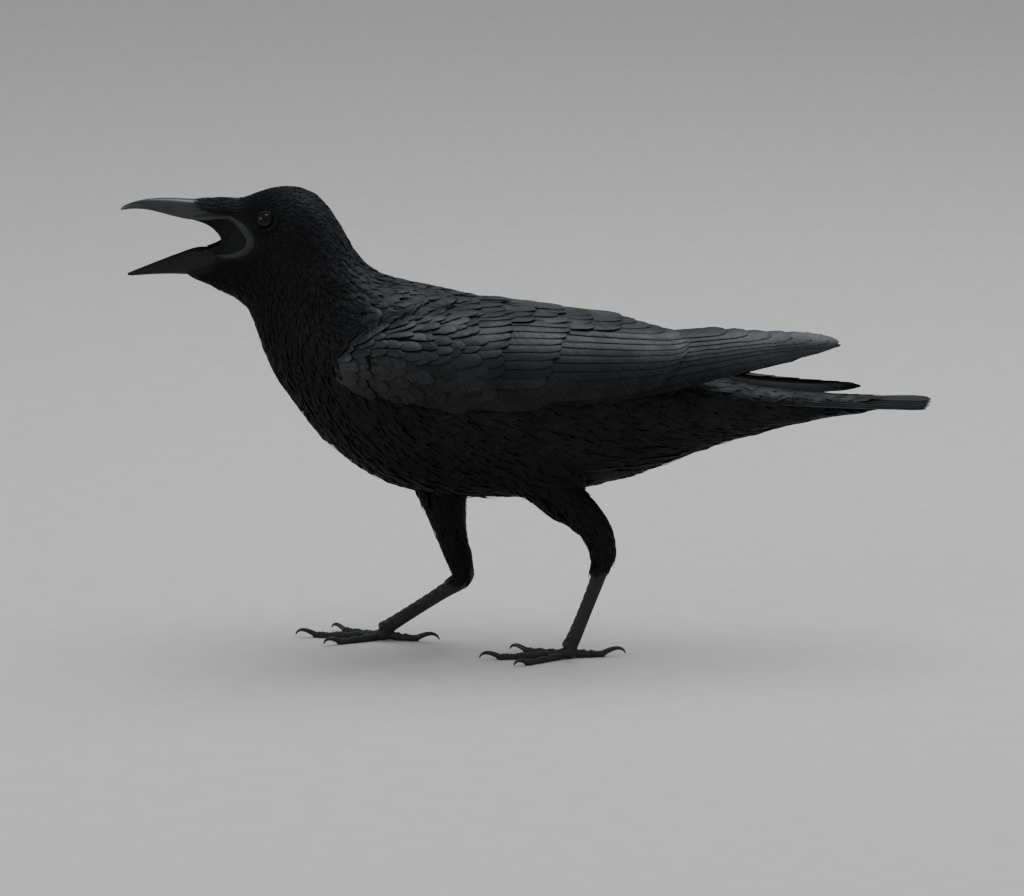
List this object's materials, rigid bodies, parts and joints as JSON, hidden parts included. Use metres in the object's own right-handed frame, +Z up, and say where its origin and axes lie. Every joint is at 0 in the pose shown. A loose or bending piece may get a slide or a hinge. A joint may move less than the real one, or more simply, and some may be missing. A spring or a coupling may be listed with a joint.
{
  "type": "crow",
  "caption": "Life-size black crow walking and calling: open bill, folded wings, closed tail, long legs in mid stride.",
  "frame": {"origin": "centre of the overall bounding box, at the height of the soles of the feet", "axes": "-X towards the bill, -Y towards the bird's left side, +Z up"},
  "size_m": [0.4512, 0.1072, 0.2648],
  "materials": {
    "feather": "glossy near-black contour feathers with a faint blue-violet sheen",
    "flight_feather": "smooth near-black wing and tail feathers, bluish grey where they catch the light",
    "horn": "smooth black horn of the bill, softly glossy",
    "claw": "polished black horn of the claws",
    "leg_skin": "black scaly leg and toe skin with a dull shine",
    "eye": "wet dark brown eye",
    "mouth": "moist dark slate-pink mouth lining and tongue"
  },
  "bodies": {
    "root": {"bill_lower": "horn", "bill_upper": "horn", "claw_left_hind": "claw", "claw_left_inner": "claw", "claw_left_middle": "claw", "claw_left_outer": "claw", "claw_right_hind": "claw", "claw_right_inner": "claw", "claw_right_middle": "claw", "claw_right_outer": "claw", "eye_left": "eye", "eye_right": "eye", "foot_left": "leg_skin", "foot_right": "leg_skin", "head": "feather", "neck": "feather", "shank_left": "leg_skin", "shank_right": "leg_skin", "tail": "flight_feather", "thigh_left": "feather", "thigh_right": "feather", "toe_left_hind": "leg_skin", "toe_left_inner": "leg_skin", "toe_left_middle": "leg_skin", "toe_left_outer": "leg_skin", "toe_right_hind": "leg_skin", "toe_right_inner": "leg_skin", "toe_right_middle": "leg_skin", "toe_right_outer": "leg_skin", "tongue": "mouth", "trunk": "feather", "wing_left": "flight_feather", "wing_right": "flight_feather"}
  },
  "joints": []
}
